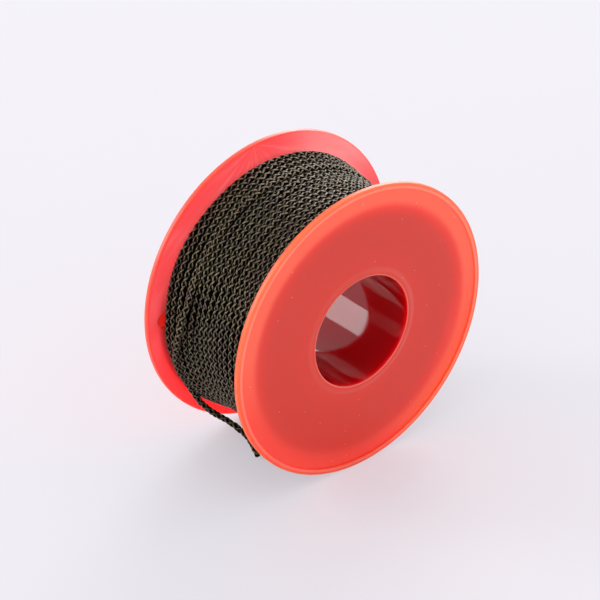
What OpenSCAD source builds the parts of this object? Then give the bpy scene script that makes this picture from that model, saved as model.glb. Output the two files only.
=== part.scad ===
// Line spool: a barrel seated in the sleeves of two thin flanges, wound with braided line.
// The spool stands on its rims: floor at z = 0, spool axis along X, front flange at +X.

/* [Flanges] */
// Diameter of both flanges
flange_d = 60; // [56:0.5:70]
// Width over the two rim beads
spool_w = 28.3; // [24:0.1:34]
// Thickness of a flange inside its rim bead
flange_t = 0.9; // [0.7:0.1:1.5]
// Height of the rim bead above the outer face
bead_h = 0.3; // [0.2:0.05:0.6]
// Radial width of the rim bead
bead_w = 1.2; // [1:0.1:2]
// Radius of the rounded rim edges
bead_round = 0.3; // [0.1:0.05:0.4]
// Wall of the sleeve that seats each flange on the barrel
sleeve_wall = 1.5; // [1:0.1:2.5]
// Length of that sleeve
sleeve_len = 2; // [1.5:0.5:5]
// Flat width of the lip round each bore mouth
lip_w = 0.7; // [0.4:0.1:1.5]
// Height of that lip above the outer face
lip_h = 0.2; // [0.1:0.05:0.3]
// Width of the slope from the lip down to the outer face
lip_slope = 1.2; // [0.5:0.1:2]

/* [Barrel] */
// Diameter of the bore for the spindle
bore_d = 22.8; // [16:0.1:24]
// Wall of the barrel
barrel_wall = 1.9; // [1.2:0.1:2.4]
// Chamfer that leads the barrel into the sleeves
lead_chamfer = 0.2; // [0.1:0.05:0.4]
// Radial clearance between a flange and the barrel
fit_gap = 0.05; // [0.02:0.01:0.15]

/* [Dimple in the rear flange] */
// Diameter of the dimple
dimple_d = 3.3; // [2:0.1:4]
// Depth of the dimple
dimple_depth = 0.45; // [0.2:0.05:0.6]
// Distance of the dimple from the spool axis
dimple_r = 26; // [24:0.5:26.5]
// Direction of the dimple round the axis
dimple_angle = 180; // [0:5:355]

/* [Line] */
// Diameter of the loose line
line_d = 1.2; // [0.8:0.1:1.4]
// Diameter over the outer layer of turns at the front flange
wound_d = 50.4; // [44:0.2:52]
// How much higher the layer is piled at the rear flange
wound_pile = 1.4; // [0:0.1:1.6]
// Place along the axis from which it is piled up
pile_from = -3; // [-8:0.5:4]
// Spacing of neighbouring turns
turn_pitch = 1.45; // [1.4:0.05:2]
// Clear space between neighbouring turns
turn_gap = 0.45; // [0.42:0.01:0.6]
// Clear space beside and under the wound line
line_gap = 0.3; // [0.2:0.05:0.5]

/* [Last turn] */
// Direction in which the outer layer reaches the rear flange
layer_end_angle = -90; // [-120:15:-60]
// How far the last turn steps back over its neighbours
cross_shift = 5.95; // [3:0.05:9]
// Where round the axis that step begins
cross_from = -60; // [-60:5:-30]
// Where round the axis that step ends
cross_to = 10; // [0:5:100]
// Direction in which the last turn comes off the wound layer
leave_angle = 165; // [150:15:180]

/* [Hidden] */
$fn = 96;
spare = 0.01;

// Spool, from the axis outwards
axis_z = flange_d / 2;
rim_t = flange_t + bead_h;
inner_half = spool_w / 2 - rim_t;
bore_r = bore_d / 2;
drum_r = bore_r + barrel_wall;
sleeve_in_r = drum_r + fit_gap;
sleeve_out_r = sleeve_in_r + sleeve_wall;

// Wound line, from the outside inwards
turn_d = turn_pitch - turn_gap;
core_half = inner_half - line_gap;
turn_half = core_half - turn_d / 2;
loop_rings = 24;
ring_step = 360 / loop_rings;
layer_steps = floor(2 * turn_half / turn_pitch * loop_rings);
last_steps = (leave_angle - layer_end_angle) / ring_step;
climb_before = 40;
climb_after = 30;

// Loose end of the line: it lies on the last turn's way round the layer, comes away from it,
// drifts towards the front flange and ends on the floor
tail_points = [
    [-6.3, -26.75, 33.7],
    [-6.9, -27.0, 30.9],
    [-7.8, -26.95, 28.1],
    [-8.7, -26.65, 25.7],
    [-9.6, -26.15, 23.4],
    [-10.2, -25.45, 21.2],
    [-10.6, -24.65, 19.1],
    [-10.8, -23.5, 17.0],
    [-10.8, -22.4, 15.0],
    [-10.8, -21.4, 13.1],
    [-10.3, -19.9, 10.6],
    [-9.1, -18.5, 8.7],
    [-7.8, -17.5, 7.7],
    [-6.3, -16.6, 7.0],
    [-4.7, -15.8, 6.1],
    [-3.3, -15.0, 4.9],
    [-2.2, -14.5, 3.4],
    [-0.9, -14.3, 2.0],
    [0.4, -14.3, 0.6]
];

function unit(v) = v / norm(v);
function ease(t) = t <= 0 ? 0 : t >= 1 ? 1 : t * t * (3 - 2 * t);
function round_axis(x, r, angle) = [x, r * cos(angle), axis_z + r * sin(angle)];

// Radius of the wound surface, which is piled up towards the rear flange
function wound_r(x) = wound_d / 2 + wound_pile * ease((pile_from - x) / (pile_from + core_half));

// Direction of a route at point i
function heading(pts, i) =
    unit(pts[min(i + 1, len(pts) - 1)] - pts[max(i - 1, 0)]);

// Six- or eight-sided ring round point i of a route
function ring(pts, i, d, sides) =
    let(t = heading(pts, i), u = unit([1, 0, 0] - t[0] * t), v = cross(t, u))
    [for (j = [0:sides - 1]) pts[i] + d / 2 * (cos(360 * j / sides) * u + sin(360 * j / sides) * v)];

// A tube along a route, as one closed skin of triangles
module tube(pts, d, sides) {
    last = len(pts) - 1;
    skin = [for (i = [0:last - 1], j = [0:sides - 1])
        let(a = i * sides + j, b = i * sides + (j + 1) % sides)
        each [[a, b + sides, b], [a, a + sides, b + sides]]];
    caps = [for (j = [1:sides - 2], top = [0, last * sides])
        top == 0 ? [0, j, j + 1] : [top, top + j + 1, top + j]];
    polyhedron([for (i = [0:last]) each ring(pts, i, d, sides)], concat(skin, caps));
}

// Outer layer: step 0 is where the layer reaches the rear flange. Before it the turns lie side by
// side, and after it the last turn climbs on top and steps back over its neighbours.
function layer_x(angle) = angle < layer_end_angle
    ? -turn_half + turn_pitch * (layer_end_angle - angle) / 360
    : -turn_half + cross_shift * ease((angle - cross_from) / (cross_to - cross_from));
function layer_rise(angle) =
    turn_pitch * ease((angle - layer_end_angle + climb_before) / (climb_before + climb_after));
function layer_point(step) =
    let(angle = layer_end_angle + step * ring_step, x = layer_x(angle))
    round_axis(x, wound_r(x) - turn_d / 2 + layer_rise(angle), angle);

wound_route = [for (k = [-layer_steps:last_steps]) layer_point(k)];
function straight_ends(pts, length) =
    let(n = len(pts) - 1)
    concat([pts[0] + length * unit(pts[0] - pts[1])], pts, [pts[n] + length * unit(pts[n] - pts[n - 1])]);
layer_route = straight_ends(wound_route, turn_d);
layer_end = layer_route[len(layer_route) - 1];

// Least gap of the wound line to itself, between points half a loop or more apart
least_gap = min([for (i = [0:len(wound_route) - 1])
    for (j = [i + loop_rings / 2:1:len(wound_route) - 1])
        norm(wound_route[i] - wound_route[j])]) - turn_d;
echo(least_gap_of_wound_line_mm = least_gap, loops = (layer_steps + last_steps) / loop_rings);

// Where the spool's own pieces are turned about the axis along X
module on_axis(x = 0) {
    translate([x, 0, axis_z]) rotate([0, 90, 0]) rotate(180) children();
}

// What a rounded corner takes off a section, towards +x and +y
module corner_waste(r) {
    difference() {
        square(r + spare);
        circle(r, $fn = 12);
    }
}

// Half section of a flange: x is the distance from the axis, y grows outwards from its inner face.
// The outline has sharp corners, four of which are then rounded.
module flange_section() {
    lip_end = bore_r + lip_w;
    difference() {
        polygon(concat(
            [[bore_r, 0], [bore_r, flange_t + lip_h]],
            [for (t = [0:0.25:1]) [lip_end + lip_slope * t, flange_t + lip_h * (1 - ease(t))]],
            [
                [axis_z - bead_w, flange_t],
                [axis_z - bead_w, rim_t],
                [axis_z, rim_t],
                [axis_z, 0],
                [sleeve_out_r, 0],
                [sleeve_out_r, lead_chamfer - sleeve_len],
                [sleeve_out_r - lead_chamfer, -sleeve_len],
                [sleeve_in_r + lead_chamfer, -sleeve_len],
                [sleeve_in_r, lead_chamfer - sleeve_len],
                [sleeve_in_r, 0]
            ]
        ));
        translate([bore_r + lip_h, flange_t]) mirror([1, 0]) corner_waste(lip_h);
        translate([axis_z - bead_w + bead_h / 2, rim_t - bead_h / 2]) mirror([1, 0]) corner_waste(bead_h / 2);
        translate([axis_z - bead_round, rim_t - bead_round]) corner_waste(bead_round);
        translate([axis_z - bead_round, bead_round]) mirror([0, 1]) corner_waste(bead_round);
    }
}

module flange() {
    on_axis(inner_half) rotate_extrude() flange_section();
}

module barrel() {
    color("tomato") on_axis() rotate_extrude() polygon([
        [bore_r, -inner_half],
        [drum_r - lead_chamfer, -inner_half],
        [drum_r, lead_chamfer - inner_half],
        [drum_r, inner_half - lead_chamfer],
        [drum_r - lead_chamfer, inner_half],
        [bore_r, inner_half]
    ]);
}

module front_flange() {
    color("orangered") flange();
}

module rear_flange() {
    color("orangered") difference() {
        mirror([1, 0, 0]) flange();
        translate(round_axis(-inner_half - dimple_depth, dimple_r, dimple_angle))
            rotate([0, 90, 0]) cylinder(d = dimple_d, h = dimple_depth + spare, $fn = 48);
    }
}

// The hidden layers, from the barrel up to the outer layer
module line_inner_layers() {
    step_x = inner_half - sleeve_len - line_gap;
    color("darkolivegreen") on_axis() rotate_extrude() polygon(concat(
        [
            [sleeve_out_r + line_gap, core_half],
            [sleeve_out_r + line_gap, step_x],
            [drum_r + line_gap, step_x],
            [drum_r + line_gap, -step_x],
            [sleeve_out_r + line_gap, -step_x],
            [sleeve_out_r + line_gap, -core_half]
        ],
        [for (t = [-1:1/3:1]) [wound_r(core_half * t) - turn_d - line_gap, core_half * t]]
    ));
}

module line_outer_layer() {
    color("darkolivegreen") tube(layer_route, turn_d, 6);
}

module line_tail() {
    color("olive") tube(concat([layer_end], tail_points), line_d, 8);
}

barrel();
front_flange();
rear_flange();
line_inner_layers();
line_outer_layer();
line_tail();
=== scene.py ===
"""A spool of braided fishing line: moulded red spool, wound line with its last turn and loose end."""

import math

import bpy
from bpy.props import (
    FloatProperty,
    FloatVectorProperty,
    IntProperty,
    PointerProperty,
)
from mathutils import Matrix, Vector, noise


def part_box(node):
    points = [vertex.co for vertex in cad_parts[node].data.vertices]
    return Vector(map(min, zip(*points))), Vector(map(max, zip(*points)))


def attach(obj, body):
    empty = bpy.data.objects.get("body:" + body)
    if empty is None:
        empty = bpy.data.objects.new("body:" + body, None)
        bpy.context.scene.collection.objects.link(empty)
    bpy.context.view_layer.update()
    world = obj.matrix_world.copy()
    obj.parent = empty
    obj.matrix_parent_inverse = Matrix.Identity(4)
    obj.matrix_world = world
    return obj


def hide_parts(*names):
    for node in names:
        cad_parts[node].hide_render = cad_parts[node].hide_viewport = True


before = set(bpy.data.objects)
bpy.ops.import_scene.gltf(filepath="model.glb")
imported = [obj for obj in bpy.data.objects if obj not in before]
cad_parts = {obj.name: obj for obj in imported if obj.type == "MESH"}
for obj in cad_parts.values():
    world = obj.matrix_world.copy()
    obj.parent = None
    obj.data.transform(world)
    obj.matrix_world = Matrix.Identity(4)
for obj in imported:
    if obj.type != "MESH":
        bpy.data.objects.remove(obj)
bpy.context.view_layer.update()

bl_info = {
    "name": "Line Spool",
    "version": (1, 0, 0),
    "blender": (4, 5, 0),
    "location": "3D View > Sidebar > Line Spool",
    "description": "Finishes a spool, winds braided line on it and lays its loose end",
    "category": "Object",
}

MM = 0.001

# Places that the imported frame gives
FRONT_LOW, FRONT_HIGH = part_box("front_flange")
AXIS_Z = (FRONT_LOW.z + FRONT_HIGH.z) / 2
WIND_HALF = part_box("line_inner_layers")[1].x


class SpoolSettings(bpy.types.PropertyGroup):
    """Colours of the moulded spool: its red with painted shade, painted light and painted glow, and
    its flow marks.
    """

    # Painted shade: the outer faces' red before the wound line, darker where the line keeps light
    # from coming through
    shaded_face_colour: FloatVectorProperty(
        name="Shaded face colour",
        description="Plastic in front of the wound line, which keeps light from coming through",
        subtype="COLOR",
        size=3,
        default=(1.0, 0.035, 0.014),
    )
    # Painted light: the outer faces' red outside the wound line, brighter where light comes through
    lit_band_colour: FloatVectorProperty(
        name="Lit band colour",
        description="Plastic outside the wound line, where light comes through",
        subtype="COLOR",
        size=3,
        default=(1.0, 0.06, 0.03),
    )
    # Painted glow: the orange of the rim edges, for light that the flange gathers
    glowing_edge_colour: FloatVectorProperty(
        name="Glowing edge colour",
        description="Thin rim edge, which gathers light from the whole flange",
        subtype="COLOR",
        size=3,
        default=(1.0, 0.11, 0.02),
    )
    # Partly the plastic's own red on the flanges' inner faces, partly painted light from behind that
    # pales and brightens it
    lit_inner_colour: FloatVectorProperty(
        name="Lit inner colour",
        description="Inner faces of the flanges",
        subtype="COLOR",
        size=3,
        default=(1.0, 0.12, 0.14),
    )
    streak_colour: FloatVectorProperty(
        name="Streak colour",
        description="Pale flow marks that fan out from the gate",
        subtype="COLOR",
        size=3,
        default=(1.0, 0.32, 0.35),
    )
    # Painted shade: the bore wall's red, dark where the wound line keeps light out
    shaded_bore_colour: FloatVectorProperty(
        name="Shaded bore colour",
        description="Wall of the bore, which the wound line keeps dark",
        subtype="COLOR",
        size=3,
        default=(0.4, 0.001, 0.003),
    )


class LineSettings(bpy.types.PropertyGroup):
    """Sizes and colours of the braided line."""

    diameter: FloatProperty(
        name="Line diameter",
        description="Thickness of the wound line",
        default=1.3 * MM,
        min=0.5 * MM,
        max=2.0 * MM,
        subtype="DISTANCE",
        unit="LENGTH",
    )
    end_diameter: FloatProperty(
        name="Loose end diameter",
        description="Thickness of the loose end, which nothing presses flat",
        default=1.35 * MM,
        min=0.5 * MM,
        max=2.0 * MM,
        subtype="DISTANCE",
        unit="LENGTH",
    )
    pitch: FloatProperty(
        name="Turn spacing",
        description="Distance between neighbouring turns",
        default=1.45 * MM,
        min=1.0 * MM,
        max=2.5 * MM,
        subtype="DISTANCE",
        unit="LENGTH",
    )
    stitch: FloatProperty(
        name="Stitch spacing",
        description="Distance along the line between two stitches of one strand column",
        default=1.85 * MM,
        min=0.5 * MM,
        max=3.0 * MM,
        subtype="DISTANCE",
        unit="LENGTH",
    )
    seed: IntProperty(name="Seed", description="Seed of all small differences", default=7)
    colour: FloatVectorProperty(
        name="Line colour",
        description="Colour of the braid's yarn",
        subtype="COLOR",
        size=3,
        default=(0.05, 0.043, 0.02),
    )
    # Painted shade: one dark colour for the gaps between stitches and the inside of the line
    gap_shade_colour: FloatVectorProperty(
        name="Gap shade colour",
        description="Colour between the stitches and inside the line",
        subtype="COLOR",
        size=3,
        default=(0.004, 0.003, 0.002),
    )


class StageSettings(bpy.types.PropertyGroup):
    """Camera, floor and light."""

    camera_place: FloatVectorProperty(
        name="Camera",
        description="Where the camera stands",
        subtype="TRANSLATION",
        unit="LENGTH",
        size=3,
        default=(0.32051, -0.27138, 0.28657),
    )
    camera_yaw: FloatProperty(
        name="Yaw",
        description="Direction the camera looks in, from +X towards +Y",
        subtype="ANGLE",
        default=math.radians(140.109),
    )
    camera_pitch: FloatProperty(
        name="Pitch",
        description="How far the camera looks down",
        subtype="ANGLE",
        default=math.radians(31.390),
    )
    lens: FloatProperty(
        name="Lens", description="Focal length in millimetres", default=154.53, min=20, max=400
    )
    floor_colour: FloatVectorProperty(
        name="Floor colour",
        description="Colour of the floor, which colours the light from below",
        subtype="COLOR",
        size=3,
        default=(0.75, 0.735, 0.77),
    )
    backdrop_colour: FloatVectorProperty(
        name="Backdrop colour",
        description="Pale colour that the camera sees on the lit floor",
        subtype="COLOR",
        size=3,
        default=(0.825, 0.81, 0.865),
    )
    shadow_fade: FloatProperty(
        name="Shadow fade",
        description="How much of the floor's shadow is hidden by the backdrop colour",
        default=0.5,
        min=0,
        max=1,
    )


class Socket:
    """A node's output, on which arithmetic adds Math nodes."""

    def __init__(self, tree, output):
        self.tree = tree
        self.output = output

    def _maths(self, operation, *values):
        node = self.tree.node("ShaderNodeMath", {"operation": operation}, *values)
        return node.out()

    def __add__(self, other):
        return self._maths("ADD", self, other)

    def __radd__(self, other):
        return self._maths("ADD", other, self)

    def __sub__(self, other):
        return self._maths("SUBTRACT", self, other)

    def __rsub__(self, other):
        return self._maths("SUBTRACT", other, self)

    def __mul__(self, other):
        return self._maths("MULTIPLY", self, other)

    def __rmul__(self, other):
        return self._maths("MULTIPLY", other, self)

    def __truediv__(self, other):
        return self._maths("DIVIDE", self, other)

    def __pow__(self, other):
        return self._maths("POWER", self, other)

    def absolute(self):
        return self._maths("ABSOLUTE", self)

    def sine(self):
        return self._maths("SINE", self)

    def cosine(self):
        return self._maths("COSINE", self)

    def arctan2(self, other):
        return self._maths("ARCTAN2", self, other)

    def step(self, low, high):
        """0 below low, 1 above high, and a smooth rise between them."""
        node = self.tree.node(
            "ShaderNodeMapRange",
            {"interpolation_type": "SMOOTHSTEP", "clamp": True},
            Value=self,
            From_Min=low,
            From_Max=high,
        )
        return node.out("Result")


class Node:
    """One node of a tree, with its outputs as Sockets."""

    def __init__(self, tree, node):
        self.tree = tree
        self.node = node

    def out(self, name=0):
        return Socket(self.tree, self.node.outputs[name])


class Tree:
    """A node tree that is written with one method."""

    def __init__(self, nodes, links):
        self.nodes = nodes
        self.links = links

    def node(self, kind, settings=None, *values, **named):
        """Adds a node: its settings first, then its sockets by order or by name (spaces as _)."""
        made = self.nodes.new(kind)
        for key, value in (settings or {}).items():
            setattr(made, key, value)
        for i, value in enumerate(values):
            self.feed(made.inputs[i], value)
        for key, value in named.items():
            self.feed(made.inputs[key.rstrip("_").replace("_", " ")], value)
        return Node(self, made)

    def feed(self, socket, value):
        """Links a socket to a node or output, or sets it to a number or colour."""
        if isinstance(value, Node):
            value = value.out()
        if isinstance(value, Socket):
            self.links.new(value.output, socket)
        elif socket.type == "RGBA":
            socket.default_value = (*value, 1)
        else:
            socket.default_value = value

    def join(self, *parts):
        """Several geometries as one."""
        made = self.node("GeometryNodeJoinGeometry")
        for part in reversed(parts):
            self.links.new(part.out().output, made.node.inputs[0])
        return made

    def random(self, low, high, seed):
        """A random number for each point or instance."""
        made = self.node("FunctionNodeRandomValue", {"data_type": "FLOAT"}, Seed=seed)
        self.feed(made.node.inputs[2], low)
        self.feed(made.node.inputs[3], high)
        return Socket(self, made.node.outputs[1])

    def mix(self, factor, first, second):
        """A colour between two colours."""
        made = self.node("ShaderNodeMix", {"data_type": "RGBA"}, factor)
        self.feed(made.node.inputs[6], first)
        self.feed(made.node.inputs[7], second)
        return Socket(self, made.node.outputs[2])


def new_material(name):
    """A material with one Principled shader: returns it with its tree and that shader."""
    material = bpy.data.materials.new(name)
    material.use_nodes = True
    nodes = material.node_tree.nodes
    nodes.clear()
    tree = Tree(nodes, material.node_tree.links)
    shader = tree.node("ShaderNodeBsdfPrincipled")
    tree.node("ShaderNodeOutputMaterial", None, shader)
    return material, tree, shader


def set_shader(tree, shader, values):
    """Feeds a shader's inputs, by their names."""
    for name, value in values.items():
        tree.feed(shader.node.inputs[name], value)


def fine_bump(tree, spot, scale, detail, strength, distance):
    """A fine noise as a bump."""
    grain = tree.node("ShaderNodeTexNoise", None, Vector=spot.object, Scale=scale, Detail=detail)
    return tree.node(
        "ShaderNodeBump", None, Strength=strength, Distance=distance, Height=grain.out("Fac")
    )


# Radius of the flanges and of the dimple's place on the rear one, in millimetres
FLANGE_R = 30.0
DIMPLE_R = 26.0

# Pairs of bounds in millimetres between which a zone of the spool fades in or out
THROUGH_FLANGE = (13.3, 13.6)
PROUD_OF_FACE = (13.8, 14.0)
REAR_INNER_FACE = (-12.8, -12.5)
BORE_WALL = (11.42, 11.5)
LINE_EDGE = (24.2, 26.4)
FLANGE_EDGE = (29.5, 29.75)

# Gate at the flanges' rims: its direction round the axis
GATE = math.radians(97.5)


class SpoolPlace:
    """Where a shaded point lies on the spool, in millimetres, and the zones it may be in, 0 to 1."""

    def __init__(self, tree):
        self.object = tree.node("ShaderNodeTexCoord").out("Object")
        parts = tree.node("ShaderNodeSeparateXYZ", None, self.object)
        self.x = parts.out("X") * (1 / MM)
        self.across = parts.out("Y") * (1 / MM)
        self.height = (parts.out("Z") - AXIS_Z) * (1 / MM)
        self.depth = self.x.absolute()
        self.radius = (self.across * self.across + self.height * self.height) ** 0.5
        self.angle = self.height.arctan2(self.across)

    def facing(self, degrees, near, far):
        """Towards one direction round the axis: fades out between near and far radians from it."""
        return 1 - (self.angle - math.radians(degrees)).absolute().step(near, far)

    def outer_face(self):
        """The outer faces of both flanges."""
        return self.depth.step(*THROUGH_FLANGE)

    def rear_inner_face(self):
        """The rear flange's inner face, and what lies behind it."""
        return 1 - self.x.step(*REAR_INNER_FACE)

    def bore_wall(self):
        """The wall of the bore, from one mouth to the other."""
        return 1 - self.radius.step(*BORE_WALL)

    def dimple(self):
        """The dimple in the rear flange, from the square of the distance to its middle."""
        across = self.across + DIMPLE_R
        square = across * across + self.height * self.height
        return (1 - square.step(1.6, 3.2)) * self.rear_inner_face()

    def shadow_beside_line(self):
        """Where painted shadow falls: the rear flange's inner face right beside the wound line, low
        down.
        """
        low = 1 - self.height.step(-6, 16)
        return (1 - self.radius.step(26.2, 28.4)) * low * self.rear_inner_face()

    def bead_highlight(self):
        """Where a painted highlight goes: the top of the rim beads near their inner corner, which
        catches the light.
        """
        ring = self.radius.step(28.85, 29.05) * (1 - self.radius.step(29.3, 29.6))
        return ring * self.depth.step(*PROUD_OF_FACE)

    def lip_highlight(self):
        """Where a painted highlight goes: the corner of the lips round the bore mouths, and fainter
        their slope.
        """
        corner = self.depth.step(*PROUD_OF_FACE) * (1 - self.radius.step(11.6, 11.75))
        slope = self.radius.step(12.0, 12.4) * (1 - self.radius.step(12.8, 13.4))
        return corner * 0.5 + self.depth.step(13.7, 13.9) * slope * 0.1


def flow_marks(tree, spot):
    """Streaks that fan out from the gate, 0 to 1, and the thin line that runs in from it."""
    across = spot.across - FLANGE_R * math.cos(GATE)
    down = spot.height - FLANGE_R * math.sin(GATE)
    reach = (across * across + down * down) ** 0.5
    fan = across.arctan2(0 - down)
    along = tree.node("ShaderNodeCombineXYZ", None, fan * 7, reach * 0.05, 0)
    streak = tree.node("ShaderNodeTexNoise", None, Vector=along, Scale=1.0, Detail=2.0)
    marks = streak.out("Fac").step(0.46, 0.66) * (1 - 0.5 * reach.step(20, 45))
    line = (1 - (fan - math.radians(7)).absolute().step(0.02, 0.07)) * (1 - reach.step(3, 5))
    return marks, line


def light_through(tree, spot):
    """Painted glow, as emission: light that comes through the flanges outside the wound line, and
    into the bore's mouths.
    """
    near = spot.outer_face() * spot.radius.step(25.0, 26.6)
    lit = spot.height.step(-15, 8)
    rear = spot.rear_inner_face() * spot.x.step(-13.4, -13.2) * spot.radius.step(24.5, 25.5)
    far = rear * (1 - spot.dimple()) * (1 - 0.9 * spot.shadow_beside_line())
    glow = (
        # Both outer faces: more orange high up and on the right
        (near, (0.12, 0, 0)),
        (near * lit, (0, 0.065, 0.03)),
        (near * spot.across.step(4, 20) * (1 - lit), (0, 0.03, 0)),
        # The rear flange's inner face: paler high up, deep red low down
        (far, (0.14, 0.015, 0.012)),
        (rear * spot.facing(55, 0.1, 0.6), (0.1, 0.13, 0.12)),
        (rear * (1 - spot.radius.step(26.0, 28.2)) * spot.height.step(-2, 12), (0.08, 0.03, 0.03)),
        (far * (1 - spot.height.step(-22, 4)) * spot.radius.step(26.5, 28.0), (0.36, 0, 0)),
        # The bore's mouths
        (spot.bore_wall() * spot.depth.step(10.5, 14.0), (0.1, 0, 0)),
    )
    channels = [sum(zone * colour[i] for zone, colour in glow if colour[i]) for i in range(3)]
    return tree.node("ShaderNodeCombineColor", None, *channels)


def dust(tree, spot):
    """Small specks on the faces, 0 to 1."""
    flat = tree.node("ShaderNodeCombineXYZ", None, spot.across, spot.height, 0)
    cells = tree.node("ShaderNodeTexVoronoi", {"voronoi_dimensions": "2D"}, Vector=flat, Scale=0.3)
    chance = tree.node("ShaderNodeSeparateColor", None, cells.out("Color")).out("Red")
    return (1 - cells.out("Distance").step(0.02, 0.05)) * chance.step(0.84, 0.86)


def red_plastic(settings):
    """Translucent red: darker before the wound line as painted shade, a bright band outside it as
    painted light, orange edges as painted glow.
    """
    material, tree, shader = new_material("spool_red_plastic")
    spot = SpoolPlace(tree)
    # Painted shade before the wound line and a painted lit band outside it
    face = tree.mix(spot.radius.step(*LINE_EDGE), settings.shaded_face_colour, settings.lit_band_colour)
    face = tree.mix(dust(tree, spot) * 0.65, face, (1.0, 0.45, 0.38))

    marks, line = flow_marks(tree, spot)
    # The inner faces' red, partly painted light, with the flow marks on it
    inner = tree.mix(marks * 0.42, settings.lit_inner_colour, settings.streak_colour)
    inner = tree.mix(line * 0.5, inner, (1.0, 0.35, 0.3))
    # Painted shade: the inner faces deeper red low down
    shaded = [c * f for c, f in zip(settings.lit_inner_colour, (1.0, 0.5, 0.55))]
    inner = tree.mix(spot.height.step(-18, -1), shaded, inner)
    # Painted shadow on the rear flange's inner face beside the wound line
    inner = tree.mix(spot.shadow_beside_line() * 0.75, inner, (0.32, 0.02, 0.025))
    inner = tree.mix(spot.dimple() * 0.95, inner, (0.42, 0.0, 0.008))

    # Painted shade deep in the bore, fading to painted light at its mouths
    mouth = [c * 1.8 for c in settings.shaded_bore_colour]
    bore = tree.mix(spot.depth.step(12.3, 14.0), settings.shaded_bore_colour, mouth)
    # Painted glow on the rim edges: orange on the front flange, the lit band's red on the rear one
    edge = tree.mix(spot.x.step(-1, 1), settings.lit_band_colour, settings.glowing_edge_colour)

    colour = tree.mix(spot.outer_face(), inner, face)
    colour = tree.mix(spot.radius.step(*FLANGE_EDGE), colour, edge)
    # Painted highlight on the crests of the rim beads
    colour = tree.mix(spot.bead_highlight() * 0.55, colour, (1.0, 0.3, 0.19))
    # Painted highlight on the lips round the bore mouths
    colour = tree.mix(spot.lip_highlight(), colour, (1.0, 0.36, 0.26))
    colour = tree.mix(spot.bore_wall(), colour, bore)
    set_shader(
        tree,
        shader,
        {
            "Base Color": colour,
            "Roughness": 0.34 - 0.28 * spot.bore_wall(),
            "Emission Color": light_through(tree, spot),
            "Emission Strength": 1.0,
            "Normal": fine_bump(tree, spot, 900.0, 3.0, 0.05, 0.05 * MM),
            "Subsurface Weight": 1.0,
            "Subsurface Radius": (1.0, 0.12, 0.1),
            "Subsurface Scale": 3.0 * MM,
        },
    )
    return material


# Name of the number that tells how high a point lies on its stitch: 0 in the gaps, 1 on top
CREST = "crest"
# How lopsided the stitches' shading takes the winding to be, in millimetres: a little more than it is
SHADED_LOPSIDED = 0.35


def stitch_top(tree, spot):
    """1 on the crests of the stitches that lie on top of the winding, less deeper down: it paints
    shade between the stitches and in the grooves between turns.
    """
    piled = WOUND_PILE / MM * (1 - spot.x.step(-WIND_HALF / MM, PILE_FROM / MM))
    lopsided = SHADED_LOPSIDED * (spot.angle - HIGH_SIDE).cosine()
    sunk_by = FRONT_WOUND_R / MM + piled + lopsided - spot.radius
    crest = tree.node("ShaderNodeAttribute", {"attribute_name": CREST}).out("Fac").step(0.1, 0.8)
    return crest * (1 - 0.9 * sunk_by.step(0.08, 0.5))


def line_yarn(settings):
    """Dull olive and brown yarn, pale high on the winding as a painted highlight, darker low down and
    dark between its stitches as painted shade.
    """
    material, tree, shader = new_material("braided_line_yarn")
    spot = SpoolPlace(tree)
    fibres = tree.node("ShaderNodeTexNoise", None, Vector=spot.object, Scale=2600.0, Detail=1.0)
    tone = fibres.out("Fac").step(0.36, 0.62)
    hue = tree.node("ShaderNodeTexNoise", None, Vector=spot.object, Scale=330.0, Detail=1.0)
    olive = tree.mix(tone, [c * 0.6 for c in settings.colour], [c * 3.8 for c in settings.colour])
    brown = tree.mix(tone, (0.02, 0.014, 0.009), (0.16, 0.12, 0.08))
    yarn = tree.mix(hue.out("Fac").step(0.48, 0.62), olive, brown)
    # Painted shade: the yarn darker low down on the winding
    low = 1 - spot.height.step(-14, 6)
    yarn = tree.mix(low * 0.52, yarn, (0.021, 0.017, 0.006))
    # Painted highlight: the yarn paler high on the winding
    pale = spot.facing(72, 0.35, 0.75) * (0.3 + 0.7 * tone)
    yarn = tree.mix(pale * 0.9, yarn, (0.36, 0.33, 0.25))
    set_shader(
        tree,
        shader,
        {
            # Painted shade between the stitches and in the grooves between turns
            "Base Color": tree.mix(stitch_top(tree, spot), settings.gap_shade_colour, yarn),
            "Normal": fine_bump(tree, spot, 3400.0, 2.0, 0.3, 0.1 * MM),
            "Roughness": 0.27,
            "Specular IOR Level": 0.8,
            "Specular Tint": (1.0, 0.9, 0.7),
        },
    )
    return material


def line_shade(settings):
    """Painted shade: the dark inside of the line, which shows between its stitches."""
    material, tree, shader = new_material("braided_line_shade")
    values = {"Base Color": settings.gap_shade_colour, "Roughness": 0.9, "Specular IOR Level": 0.0}
    set_shader(tree, shader, values)
    return material


# Loose end of the line, in millimetres: the CAD model's route, a little lower in its second half
TAIL_POINTS = [
    (-6.3, -26.75, 33.7),
    (-6.9, -27.0, 30.9),
    (-7.8, -26.95, 28.1),
    (-8.7, -26.65, 25.7),
    (-9.6, -26.15, 23.4),
    (-10.2, -25.45, 21.2),
    (-10.6, -24.65, 19.1),
    (-10.8, -23.5, 17.0),
    (-10.8, -22.4, 15.0),
    (-10.8, -21.4, 13.1),
    (-10.3, -20.0, 10.3),
    (-9.1, -18.6, 8.3),
    (-7.8, -17.5, 7.25),
    (-6.3, -16.6, 6.5),
    (-4.7, -15.8, 5.6),
    (-3.3, -15.0, 4.5),
    (-2.2, -14.5, 3.4),
    (-0.9, -14.3, 2.0),
    (0.4, -14.3, 0.5),
]


def ease(t):
    """A smooth rise from 0 at t = 0 to 1 at t = 1."""
    t = min(max(t, 0.0), 1.0)
    return t * t * (3 - 2 * t)


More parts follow.
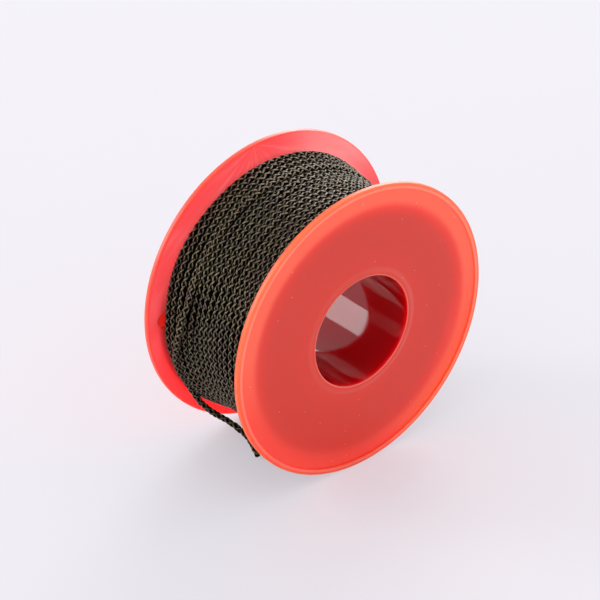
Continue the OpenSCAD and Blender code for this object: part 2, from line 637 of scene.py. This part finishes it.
def round_axis(x, radius, angle):
    """A point at an angle round the spool axis: 0 is +Y, 90 degrees is up."""
    return Vector((x, radius * math.cos(angle), AXIS_Z + radius * math.sin(angle)))


# The wound layer, as in the CAD model: where it ends, and the last turn's way back over it
FRONT_WOUND_R = 25.2 * MM
WOUND_PILE = 1.4 * MM
PILE_FROM = -3 * MM
LAYER_END = math.radians(-90)
LEAVE = math.radians(165)
CLIMB_FROM = math.radians(-130)
CLIMB_TO = math.radians(-60)
CROSS_FROM = math.radians(-60)
CROSS_TO = math.radians(10)
CROSS_SHIFT = 5.95 * MM
TURN_HALF = 12.15 * MM
# Where the last turn sinks in between two turns, which part for it, and where it rises again
SINK_FROM = math.radians(0)
SINK_TO = math.radians(40)
RISE_FROM = math.radians(140)
RISE_TO = math.radians(185)
# Number of turns between the rear flange and that groove
LAST_LIES_AFTER = 4
# Points of the route per turn, and pieces that the layer is split into
POINTS_PER_TURN = 72
TURN_SECTIONS = 5
# The wound layer isn't quite round: it stands a little higher on one side and low down
LOPSIDED = 0.3 * MM
HIGH_SIDE = math.radians(190)
BELLY = 0.6 * MM
BELLY_SIDE = math.radians(238)
# How far a turn strays along the axis, by itself and with its neighbours, and in height
STRAY_ALONE = 0.14 * MM
STRAY_TOGETHER = 0.35 * MM
STRAY_HEIGHT = 0.22 * MM
# Thickness of the last turn and how far its neighbours keep from its middle, in line diameters
LAST_TURN_THICK = 0.95
LAST_TURN_ROOM = 0.96
# How far the last turn stands above the layer, and how far it sinks back, in turn spacings
LAST_TURN_RISE = 0.9
LAST_TURN_SINK = 0.65
# The ring under the turns: its inner radius, how deep it lies below their tops, and its ribs
BED_INNER_R = 15.4 * MM
BED_DEPTH = 1.55 * MM
BED_RIB = 0.25 * MM
# A stitch: its thickness, width and distance from the line's middle in line diameters, its lean,
# and its half length and place along the line in stitch spacings
STITCH_THICK = 0.26
STITCH_WIDE = 0.31
STITCH_LEVEL = 0.36
STITCH_LEAN = math.radians(32)
STITCH_REACH = 0.45
STITCH_PHASE = 0.25
# Radius of the line's dark core in line diameters
CORE_RADIUS = 0.3
# Directions round the line of its columns of stitches, and those that face the spool's axis
COLUMNS = range(30, 390, 60)
HIDDEN_COLUMNS = (150, 210)


def wound_r(x, angle):
    """Radius of the wound surface, which is piled up towards the rear flange."""
    piled = WOUND_PILE * ease((PILE_FROM - x) / (PILE_FROM + WIND_HALF))
    belly = BELLY * max(0.0, math.cos(angle - BELLY_SIDE)) ** 4
    return FRONT_WOUND_R + piled + LOPSIDED * math.cos(angle - HIGH_SIDE) + belly


def wander(x, angle, size, grain, seed):
    """A smooth number from -size to size that changes along and round the winding."""
    return size * noise.noise(
        Vector((x / grain, 2.2 * math.cos(angle), 2.2 * math.sin(angle) + 11.3 * seed))
    )


def sunk(angle):
    """How far the last turn lies in its groove between two turns: 0 to 1."""
    down = ease((angle - SINK_FROM) / (SINK_TO - SINK_FROM))
    return down * (1 - ease((angle - RISE_FROM) / (RISE_TO - RISE_FROM)))


def last_x(angle):
    """Where the last turn lies along the axis."""
    return -TURN_HALF + CROSS_SHIFT * ease((angle - CROSS_FROM) / (CROSS_TO - CROSS_FROM))


def parted(x, angle, line):
    """Where a turn of the layer lies once it has made room for the last turn."""
    turns_left = (LAYER_END - angle) / math.tau
    way = (angle - LAYER_END) % math.tau / math.tau
    facing = LAYER_END + way * math.tau
    room = line.diameter * LAST_TURN_ROOM
    rear = -TURN_HALF + line.pitch * (LAST_LIES_AFTER - way)
    front = rear + line.pitch
    if round(turns_left + way) <= LAST_LIES_AFTER:
        push = (last_x(facing) - room - rear) * (x + TURN_HALF) / (rear + TURN_HALF)
    else:
        push = (last_x(facing) + room - front) * (TURN_HALF - x) / (TURN_HALF - front)
    return x + sunk(facing) * push


def layer_route(line):
    """Centreline of the outer layer and of the last turn on top of it."""
    turns = 2 * TURN_HALF / line.pitch
    start = LAYER_END - turns * math.tau
    count = round((LEAVE - start) / math.tau * POINTS_PER_TURN)
    points = []
    for i in range(count + 1):
        angle = start + (LEAVE - start) * i / count
        turn = (angle - start) / math.tau
        if angle < LAYER_END:
            x = -TURN_HALF + line.pitch * (LAYER_END - angle) / math.tau
            x = parted(x, angle, line)
        else:
            x = last_x(angle)
        rise = line.pitch * ease((angle - CLIMB_FROM) / (CLIMB_TO - CLIMB_FROM))
        rise *= LAST_TURN_RISE - LAST_TURN_SINK * sunk(angle)
        # Turns stray from their places within the layer, but not at its ends
        on_layer = ease(turn) * ease((LAYER_END - angle) / 2)
        own = noise.noise(Vector((0.55 * turn + 40, 0.9 * angle, line.seed)))
        stray = wander(x, angle, STRAY_TOGETHER, 5 * MM, line.seed) + STRAY_ALONE * own
        radius = wound_r(x, angle) - line.diameter / 2 + rise
        radius += on_layer * wander(x, angle, STRAY_HEIGHT, 3 * MM, line.seed + 5)
        points.append(round_axis(x + on_layer * stray, radius, angle))
    return points


def tail_route(line):
    """The loose end's points, from where the last turn leaves the layer."""
    return [layer_route(line)[-1]] + [Vector(p) * MM for p in TAIL_POINTS]


SOCKET_KINDS = {bool: "NodeSocketBool", int: "NodeSocketInt", float: "NodeSocketFloat"}


def geometry_tree(name, sizes):
    """A Geometry Nodes tree with named size inputs: returns the group, its Tree and both ends."""
    group = bpy.data.node_groups.new(name, "GeometryNodeTree")
    group.interface.new_socket("Geometry", in_out="INPUT", socket_type="NodeSocketGeometry")
    for size, default in sizes.items():
        kind = SOCKET_KINDS[type(default)]
        socket = group.interface.new_socket(size, in_out="INPUT", socket_type=kind)
        socket.default_value = default
    group.interface.new_socket("Geometry", in_out="OUTPUT", socket_type="NodeSocketGeometry")
    tree = Tree(group.nodes, group.links)
    entry = tree.node("NodeGroupInput")
    leave = tree.node("NodeGroupOutput")
    return group, tree, entry, leave


def stitch(tree, diameter, spacing, lean):
    """One over-stitch of a strand, at the line's +X side and wrapped round it; lean is 1 or -1."""
    grain = tree.node("GeometryNodeMeshUVSphere", None, Segments=6, Rings=8, Radius=0.5)
    spot = tree.node("ShaderNodeSeparateXYZ", None, tree.node("GeometryNodeInputPosition"))
    grain = tree.node(
        "GeometryNodeStoreNamedAttribute",
        {"data_type": "FLOAT", "domain": "POINT"},
        Geometry=grain,
        Name=CREST,
        Value=spot.out("X") * 2,
    )
    size = tree.node(
        "ShaderNodeCombineXYZ",
        None,
        diameter * STITCH_THICK,
        diameter * STITCH_WIDE,
        spacing * (2 * STITCH_REACH),
    )
    grain = tree.node("GeometryNodeTransform", None, Geometry=grain, Scale=size)
    grain = tree.node(
        "GeometryNodeTransform", None, Geometry=grain, Rotation=(lean * STITCH_LEAN, 0, 0)
    )
    part = tree.node("ShaderNodeSeparateXYZ", None, tree.node("GeometryNodeInputPosition"))
    level = diameter * STITCH_LEVEL
    radius = level + part.out("X")
    round_line = part.out("Y") / level
    wrapped = tree.node(
        "ShaderNodeCombineXYZ",
        None,
        radius * round_line.cosine(),
        radius * round_line.sine(),
        part.out("Z") + spacing * (lean * STITCH_PHASE),
    )
    return tree.node("GeometryNodeSetPosition", None, Geometry=grain, Position=wrapped)


def braid_tree(material, shade):
    """A braid along a path of edges: columns of stitches round a dark core."""
    sizes = {
        "Diameter": 1.3 * MM,
        "Stitch spacing": 1.85 * MM,
        "Stitches": 10,
        "Stitched share": 1.0,
        "All round": False,
        "Axis height": AXIS_Z,
        "Seed": 1,
    }
    group, tree, entry, leave = geometry_tree("braided_line_along_path", sizes)
    diameter = entry.out("Diameter")
    spacing = entry.out("Stitch spacing")
    seed = entry.out("Seed")
    curve = tree.node("GeometryNodeMeshToCurve", None, Mesh=entry.out("Geometry"))
    beaded = tree.node("GeometryNodeTrimCurve", None, Curve=curve, End=entry.out("Stitched share"))
    beads = tree.node(
        "GeometryNodeCurveToPoints", {"mode": "COUNT"}, beaded, Count=entry.out("Stitches")
    )

    outer, inner = [], []
    for i, facing in enumerate(COLUMNS):
        column = tree.node(
            "GeometryNodeTransform",
            None,
            Geometry=stitch(tree, diameter, spacing, (-1) ** i),
            Rotation=(0, 0, math.radians(facing)),
        )
        (inner if facing in HIDDEN_COLUMNS else outer).append(column)
    all_round = tree.node(
        "GeometryNodeSwitch",
        {"input_type": "GEOMETRY"},
        Switch=entry.out("All round"),
        True_=tree.join(*inner),
    )
    unit = tree.node("GeometryNodeGeometryToInstance", None, tree.join(*outer, all_round))

    spot = tree.node("GeometryNodeInputPosition")
    place = tree.node("ShaderNodeSeparateXYZ", None, spot)
    outward = tree.node(
        "ShaderNodeCombineXYZ", None, 0, place.out("Y"), place.out("Z") - entry.out("Axis height")
    )
    along = tree.node(
        "FunctionNodeAxesToRotation",
        {"primary_axis": "Z", "secondary_axis": "X"},
        beads.out("Tangent"),
        outward,
    )
    drift = tree.node("ShaderNodeTexNoise", None, Vector=spot, Scale=110.0, Detail=0.0)
    twist = (drift.out("Fac") - 0.5) * 2.6 + tree.random(-0.1, 0.1, seed)
    twist = tree.node("ShaderNodeCombineXYZ", None, 0, 0, twist)
    twist = tree.node("FunctionNodeEulerToRotation", None, twist)
    along = tree.node("FunctionNodeRotateRotation", {"rotation_space": "LOCAL"}, along, twist)
    fat = tree.random(0.94, 1.06, seed + 9)
    swell = tree.node("ShaderNodeCombineXYZ", None, fat, fat, 1.0)
    stitches = tree.node(
        "GeometryNodeInstanceOnPoints",
        None,
        Points=beads.out("Points"),
        Instance=unit,
        Rotation=along,
        Scale=swell,
    )

    section = tree.node(
        "GeometryNodeCurvePrimitiveCircle", None, Resolution=8, Radius=diameter * CORE_RADIUS
    )
    core = tree.node(
        "GeometryNodeCurveToMesh", None, Curve=curve, Profile_Curve=section, Fill_Caps=True
    )
    parts = []
    for part, look in ((stitches, material), (core, shade)):
        part = tree.node("GeometryNodeRealizeInstances", None, Geometry=part)
        part = tree.node("GeometryNodeSetShadeSmooth", None, part)
        parts.append(tree.node("GeometryNodeSetMaterial", None, Geometry=part, Material=look))
    tree.feed(leave.node.inputs["Geometry"], tree.join(*parts))
    return group


def path_object(name, points):
    """A mesh of edges along a path, for a Geometry Nodes tree to follow."""
    mesh = bpy.data.meshes.new(name)
    mesh.from_pydata(points, [(i, i + 1) for i in range(len(points) - 1)], [])
    piece = bpy.data.objects.new(name, mesh)
    bpy.context.scene.collection.objects.link(piece)
    return piece


def grown(piece, group, sizes):
    """The piece with the tree's result as its plain mesh."""
    modifier = piece.modifiers.new(group.name, "NODES")
    modifier.node_group = group
    for item in group.interface.items_tree:
        if item.name in sizes and item.in_out == "INPUT":
            modifier[item.identifier] = sizes[item.name]
    depsgraph = bpy.context.evaluated_depsgraph_get()
    mesh = bpy.data.meshes.new_from_object(piece.evaluated_get(depsgraph))
    piece.modifiers.remove(modifier)
    mesh.name = piece.name
    piece.data = mesh
    return piece


def braided(name, points, group, line, diameter, all_round, seed, free_end=False):
    """A length of braided line along a path; a free end's last stitches end with the path."""
    length = path_length(points)
    after_last = STITCH_REACH + STITCH_PHASE if free_end else 1.0
    stitches = round(length / line.stitch)
    spacing = length / (stitches - 1 + after_last)
    sizes = {
        "Diameter": diameter,
        "Stitch spacing": spacing,
        "Stitches": stitches,
        "Stitched share": 1 - after_last * spacing / length,
        "All round": all_round,
        "Axis height": AXIS_Z,
        "Seed": seed,
    }
    return grown(path_object(name, points), group, sizes)


def smooth_path(points, per_gap=6):
    """A Catmull-Rom path through the points."""
    ends = [2 * points[0] - points[1]] + list(points) + [2 * points[-1] - points[-2]]
    path = []
    for i in range(1, len(ends) - 2):
        a, b, c, d = ends[i - 1 : i + 3]
        for k in range(per_gap):
            t = k / per_gap
            square = (2 * a - 5 * b + 4 * c - d) * t * t
            cube = (3 * b - a - 3 * c + d) * t * t * t
            path.append(0.5 * (2 * b + (c - a) * t + square + cube))
    return path + [points[-1].copy()]


def path_length(points):
    """Length of a path through its points."""
    return sum((b - a).length for a, b in zip(points, points[1:]))


def shared_material(name, make, settings):
    """The material of that name, made on first use."""
    return bpy.data.materials.get(name) or make(settings)


def shared_braid(line):
    """The Geometry Nodes tree of the braid, made on first use."""
    group = bpy.data.node_groups.get("braided_line_along_path")
    yarn = shared_material("braided_line_yarn", line_yarn, line)
    return group or braid_tree(yarn, shared_material("braided_line_shade", line_shade, line))


# Half the floor's width, the sky's colour, and the softboxes' place, width and power
FLOOR_REACH = 3.0
SKY_COLOUR = (0.98, 0.97, 1.0)
SOFTBOXES = {
    "left_softbox": ((-1.09, -1.02, 0.61), 0.48, 7.9),
    "right_softbox": ((-0.9, 1.18, 0.64), 0.8, 13.2),
}
SOFTBOX_HEIGHT = 1.06


class SPOOL_OT_set_stage(bpy.types.Operator):
    """Make the camera, the pale floor and the soft light"""

    bl_idname = "line_spool.set_stage"
    bl_label = "Set Stage"

    def execute(self, context):
        stage = context.scene.line_spool_stage
        camera = bpy.data.cameras.new("camera")
        camera.lens = stage.lens
        camera.sensor_width = 36
        camera.clip_start = 0.01
        holder = bpy.data.objects.new("camera", camera)
        context.scene.collection.objects.link(holder)
        holder.location = stage.camera_place
        holder.rotation_euler = (
            math.pi / 2 - stage.camera_pitch,
            0,
            stage.camera_yaw - math.pi / 2,
        )
        context.scene.camera = holder
        self.lay_floor(context, stage)
        self.hang_lamps(context)
        return {"FINISHED"}

    def lay_floor(self, context, stage):
        """A wide flat floor whose own colour is the background."""
        mesh = bpy.data.meshes.new("floor")
        sides = ((-1, -1), (1, -1), (1, 1), (-1, 1))
        corners = [(x * FLOOR_REACH, y * FLOOR_REACH, 0) for x, y in sides]
        mesh.from_pydata(corners, [], [(0, 1, 2, 3)])
        floor = bpy.data.objects.new("floor", mesh)
        context.scene.collection.objects.link(floor)
        material, tree, shader = new_material("floor_paper")
        values = {"Base Color": stage.floor_colour, "Roughness": 0.9, "Specular IOR Level": 0.1}
        set_shader(tree, shader, values)
        seen = tree.node("ShaderNodeLightPath").out("Is Camera Ray") * stage.shadow_fade
        glow = tree.node("ShaderNodeEmission", None, stage.backdrop_colour, 1.0)
        mixed = tree.node("ShaderNodeMixShader", None, seen, shader, glow)
        tree.feed(tree.nodes["Material Output"].inputs["Surface"], mixed)
        mesh.materials.append(material)

    def hang_lamps(self, context):
        """A pale sky and two softboxes behind the spool."""
        world = bpy.data.worlds.new("studio")
        world.use_nodes = True
        world.node_tree.nodes.clear()
        tree = Tree(world.node_tree.nodes, world.node_tree.links)
        sky = tree.node("ShaderNodeBackground", None, SKY_COLOUR, 1.0)
        tree.node("ShaderNodeOutputWorld", None, sky)
        context.scene.world = world
        for name, (place, width, power) in SOFTBOXES.items():
            lamp = bpy.data.lights.new(name, "AREA")
            lamp.shape = "RECTANGLE"
            lamp.size = width
            lamp.size_y = SOFTBOX_HEIGHT
            lamp.energy = power
            holder = bpy.data.objects.new(name, lamp)
            context.scene.collection.objects.link(holder)
            holder.location = place
            aim = Vector((0, 0, AXIS_Z)) - Vector(place)
            holder.rotation_euler = aim.to_track_quat("-Z", "Y").to_euler()


class SPOOL_OT_lay_loose_end(bpy.types.Operator):
    """Lay the line's loose end from the wound layer down to the floor"""

    bl_idname = "line_spool.lay_loose_end"
    bl_label = "Lay Loose End"

    def execute(self, context):
        line = context.scene.line_spool_line
        path = smooth_path(tail_route(line))
        braid = shared_braid(line)
        piece = braided(
            "loose_end", path, braid, line, line.end_diameter, True, line.seed, free_end=True
        )
        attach(piece, "root")
        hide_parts("line_tail")
        path_length(path)
        return {"FINISHED"}


class SPOOL_OT_wind_line(bpy.types.Operator):
    """Wind the outer layer of line and the last turn over it"""

    bl_idname = "line_spool.wind_line"
    bl_label = "Wind Line"

    def execute(self, context):
        line = context.scene.line_spool_line
        route = layer_route(line)
        on_top = round((LEAVE - CLIMB_FROM) / math.tau * POINTS_PER_TURN)
        layer, last = route[: len(route) - on_top + 1], route[len(route) - on_top :]
        size = math.ceil(len(layer) / TURN_SECTIONS)
        braid = shared_braid(line)
        for i in range(TURN_SECTIONS):
            part = layer[i * size : (i + 1) * size + 1]
            name = f"wound_turns_{i + 1}"
            piece = braided(name, part, braid, line, line.diameter, False, line.seed + i)
            self.settle(piece, "line_outer_layer")
        thick = line.diameter * LAST_TURN_THICK
        piece = braided("last_turn", last, braid, line, thick, True, line.seed)
        self.settle(piece, "line_outer_layer")
        self.settle(self.lay_bed(context, line), "line_inner_layers")
        return {"FINISHED"}

    def settle(self, piece, node):
        """Puts a piece in a CAD node's place, on the part's one body."""
        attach(piece, "root")
        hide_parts(node)

    def lay_bed(self, context, line):
        """The hidden layers as one ribbed ring, dark as painted shade."""
        steps = 4 * round(2 * WIND_HALF / line.pitch)
        around = 72
        count = steps + 3
        points = []
        for k in range(around):
            angle = math.tau * k / around
            for i in range(steps + 1):
                x = -WIND_HALF + 2 * WIND_HALF * i / steps
                rib = BED_RIB * math.cos(math.tau * i / 4)
                points.append(round_axis(x, wound_r(x, angle) - BED_DEPTH + rib, angle))
            points += [round_axis(x, BED_INNER_R, angle) for x in (WIND_HALF, -WIND_HALF)]
        faces = [
            (
                k * count + j,
                k * count + (j + 1) % count,
                (k + 1) % around * count + (j + 1) % count,
                (k + 1) % around * count + j,
            )
            for k in range(around)
            for j in range(count)
        ]
        mesh = bpy.data.meshes.new("wound_bed")
        mesh.from_pydata(points, [], faces)
        mesh.materials.append(shared_material("braided_line_shade", line_shade, line))
        mesh.shade_smooth()
        piece = bpy.data.objects.new("wound_bed", mesh)
        context.scene.collection.objects.link(piece)
        return piece


class SPOOL_OT_finish_spool(bpy.types.Operator):
    """Give the moulded pieces their translucent red plastic"""

    bl_idname = "line_spool.finish_spool"
    bl_label = "Finish Spool"

    def execute(self, context):
        plastic = shared_material("spool_red_plastic", red_plastic, context.scene.line_spool_body)
        for name in ("barrel", "front_flange", "rear_flange"):
            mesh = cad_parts[name].data
            mesh.materials.clear()
            mesh.materials.append(plastic)
        return {"FINISHED"}


class SPOOL_PT_panel(bpy.types.Panel):
    """Sizes, colours and steps of the spool"""

    bl_idname = "SPOOL_PT_panel"
    bl_label = "Line Spool"
    bl_space_type = "VIEW_3D"
    bl_region_type = "UI"
    bl_category = "Line Spool"

    def draw(self, context):
        for name in SETTINGS:
            group = getattr(context.scene, name)
            for prop in group.bl_rna.properties:
                if not prop.is_readonly and prop.identifier != "name":
                    self.layout.prop(group, prop.identifier)
        for operator in STEPS:
            self.layout.operator(operator.bl_idname)


SETTINGS = {
    "line_spool_stage": StageSettings,
    "line_spool_line": LineSettings,
    "line_spool_body": SpoolSettings,
}
STEPS = (
    SPOOL_OT_set_stage,
    SPOOL_OT_lay_loose_end,
    SPOOL_OT_wind_line,
    SPOOL_OT_finish_spool,
)


def register():
    for group in (*SETTINGS.values(), *STEPS, SPOOL_PT_panel):
        bpy.utils.register_class(group)
    for name, group in SETTINGS.items():
        setattr(bpy.types.Scene, name, PointerProperty(type=group))


def unregister():
    for name in SETTINGS:
        delattr(bpy.types.Scene, name)
    for group in (SPOOL_PT_panel, *reversed(STEPS), *SETTINGS.values()):
        bpy.utils.unregister_class(group)


def main():
    register()
    scene = bpy.context.scene
    scene.view_settings.view_transform = "Standard"
    bpy.ops.line_spool.set_stage()
    bpy.ops.line_spool.lay_loose_end()
    bpy.ops.line_spool.wind_line()
    bpy.ops.line_spool.finish_spool()


if __name__ == "__main__":
    main()
